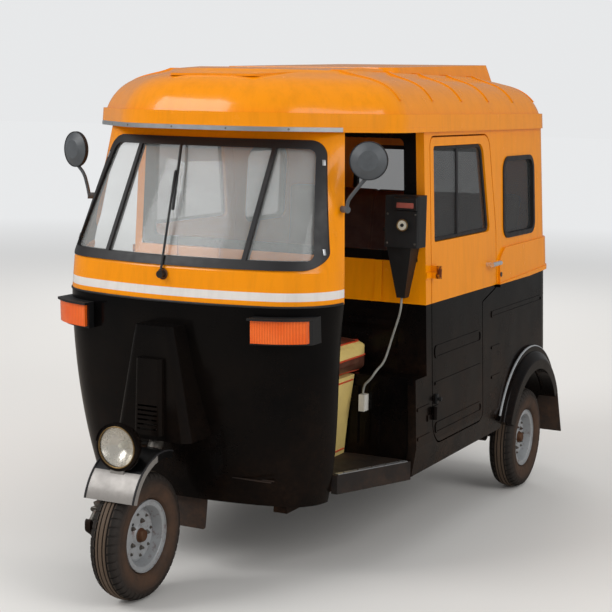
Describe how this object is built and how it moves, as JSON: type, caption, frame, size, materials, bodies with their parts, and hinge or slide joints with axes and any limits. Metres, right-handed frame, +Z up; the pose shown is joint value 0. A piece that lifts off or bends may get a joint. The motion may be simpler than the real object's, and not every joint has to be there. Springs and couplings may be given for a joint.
{
  "type": "auto rickshaw",
  "caption": "Three-wheeled auto rickshaw with a hard top, side doors, fare meter and a steered front wheel, to carry passengers on short trips.",
  "frame": {"origin": "on the ground under the middle of the overall length and width", "axes": "+Z up, +Y to the rear along the vehicle, +X to the vehicle's left"},
  "size_m": [1.32, 2.625, 1.742],
  "materials": {
    "body_paint": "two-tone gloss enamel, orange-yellow over black",
    "black_paint": "semi-gloss black enamel",
    "yellow_paint": "gloss orange-yellow enamel",
    "silver_paint": "silver-grey paint, worn",
    "steel": "worn steel",
    "chrome": "polished",
    "cast": "greasy casting",
    "rubber": "matt black rubber",
    "tyre": "dusty tread rubber",
    "glass": "clear",
    "lamp_glass": "fluted clear glass",
    "orange_lens": "ribbed amber lens",
    "red_lens": "ribbed red lens",
    "black_plastic": "moulded black plastic",
    "grey_plastic": "grey plastic",
    "cord_plastic": "grey flexible sheath",
    "white_plastic": "white plastic",
    "seat_vinyl": "brown and cream vinyl",
    "mat_rubber": "ribbed floor mat"
  },
  "bodies": {
    "body": {"front_apron": "black_paint", "cab_front": "body_paint", "windscreen_rubber": "rubber", "windscreen_glass": "glass", "steering_cowl": "black_paint", "steering_head": "black_paint", "roof_shell": "yellow_paint", "rear_panel": "body_paint", "body_side_left": "body_paint", "body_side_right": "body_paint", "window_rubbers": "rubber", "window_glass": "glass", "floor_pan": "mat_rubber", "chassis_rails": "black_paint", "cross_members": "black_paint", "partition": "body_paint", "seat_riser": "black_paint", "driver_seat_base": "seat_vinyl", "driver_seat_cushion": "seat_vinyl", "bench_base": "black_paint", "bench_cushion": "seat_vinyl", "bench_backrest": "seat_vinyl", "rear_mudguards": "black_paint", "mudflaps": "rubber", "engine_block": "cast", "trailing_arms": "steel", "rear_shocks": "steel", "indicator_housings": "black_plastic", "indicator_lenses": "orange_lens", "tail_lamps": "red_lens", "rear_bumper": "black_paint", "fare_meter": "black_plastic", "meter_cord": "cord_plastic", "cord_connector": "white_plastic", "mirrors": "grey_plastic", "wiper": "black_plastic"},
    "door_left": {"door_left": "body_paint", "door_left_glass": "glass", "door_left_handle": "chrome"},
    "door_right": {"door_right": "body_paint", "door_right_glass": "glass", "door_right_handle": "chrome"},
    "engine_hatch": {"engine_hatch": "black_paint"},
    "steering": {"steering_column": "steel", "handlebar": "black_plastic", "fork_arm": "black_paint", "front_shock": "steel", "front_mudguard": "silver_paint", "headlamp_shell": "black_paint", "headlamp_lens": "lamp_glass"},
    "front_wheel": {"front_tyre": "tyre", "front_rim": "silver_paint"},
    "rear_wheel_left": {"rear_left_tyre": "tyre", "rear_left_rim": "silver_paint"},
    "rear_wheel_right": {"rear_right_tyre": "tyre", "rear_right_rim": "silver_paint"}
  },
  "joints": [
    {"name": "steering_turn", "type": "hinge", "parent": "body", "child": "steering", "pos_m": [0, -0.985, 0.5], "axis": [0, 0.4226, 0.9063], "range_deg": [-35, 35]},
    {"name": "front_wheel_spin", "type": "hinge", "parent": "steering", "child": "front_wheel", "pos_m": [0, -1.105, 0.2075], "axis": [1, 0, 0], "continuous": true},
    {"name": "rear_wheel_left_spin", "type": "hinge", "parent": "body", "child": "rear_wheel_left", "pos_m": [0.575, 0.895, 0.2075], "axis": [1, 0, 0], "continuous": true},
    {"name": "rear_wheel_right_spin", "type": "hinge", "parent": "body", "child": "rear_wheel_right", "pos_m": [-0.575, 0.895, 0.2075], "axis": [1, 0, 0], "continuous": true},
    {"name": "door_left_swing", "type": "hinge", "parent": "body", "child": "door_left", "pos_m": [0.628, -0.156, 0.9], "axis": [0, 0, -1], "range_deg": [0, 75]},
    {"name": "door_right_swing", "type": "hinge", "parent": "body", "child": "door_right", "pos_m": [-0.628, -0.156, 0.9], "axis": [0, 0, 1], "range_deg": [0, 75]},
    {"name": "engine_hatch_lift", "type": "hinge", "parent": "body", "child": "engine_hatch", "pos_m": [0, 1.231, 0.806], "axis": [1, 0, 0], "range_deg": [0, 75]}
  ]
}
